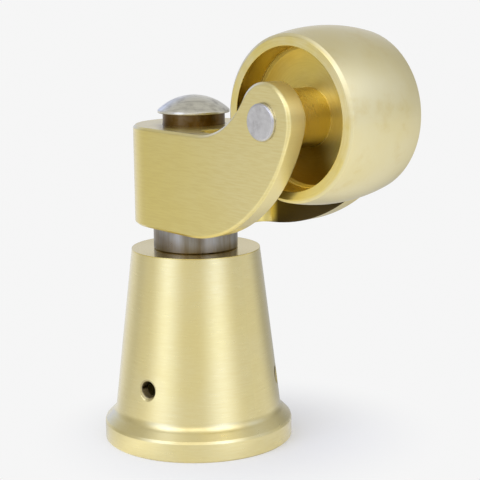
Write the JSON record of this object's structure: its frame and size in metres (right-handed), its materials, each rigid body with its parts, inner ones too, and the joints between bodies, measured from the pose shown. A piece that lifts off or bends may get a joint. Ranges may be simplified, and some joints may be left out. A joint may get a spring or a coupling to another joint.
{
  "type": "furniture castor",
  "caption": "Brass furniture castor with a round tapered cup for the leg, a swivelling two-armed horn and a solid brass wheel, standing on the mouth of its cup.",
  "frame": {"origin": "centre of the cup's mouth, in the plane of its rim", "axes": "+Z is the swivel axis, from the cup towards the wheel; at rest the horn reaches along +X and the axle lies along Y"},
  "size_m": [0.0698, 0.038, 0.0837],
  "materials": {
    "cup_brass": "satin, fine turned brushing",
    "pin_steel": "worn, slightly dull",
    "collar_steel": "worn, stained",
    "washer_steel": "plain",
    "horn_brass": "satin, fine brushing along the arms",
    "axle_steel": "satin",
    "wheel_brass": "polished tread with a light patina, turned recess"
  },
  "bodies": {
    "cup_body": {"cup": "cup_brass", "swivel_pin": "pin_steel", "collar": "collar_steel", "rivet_washer": "washer_steel"},
    "horn_body": {"horn": "horn_brass", "axle": "axle_steel"},
    "wheel_body": {"wheel": "wheel_brass"}
  },
  "joints": [
    {"name": "swivel", "type": "hinge", "parent": "cup_body", "child": "horn_body", "pos_m": [0, 0, 0.054], "axis": [0, 0, 1], "continuous": true},
    {"name": "wheel_spin", "type": "hinge", "parent": "horn_body", "child": "wheel_body", "pos_m": [0.03475, 0, 0.0677], "axis": [0, 1, 0], "continuous": true}
  ]
}
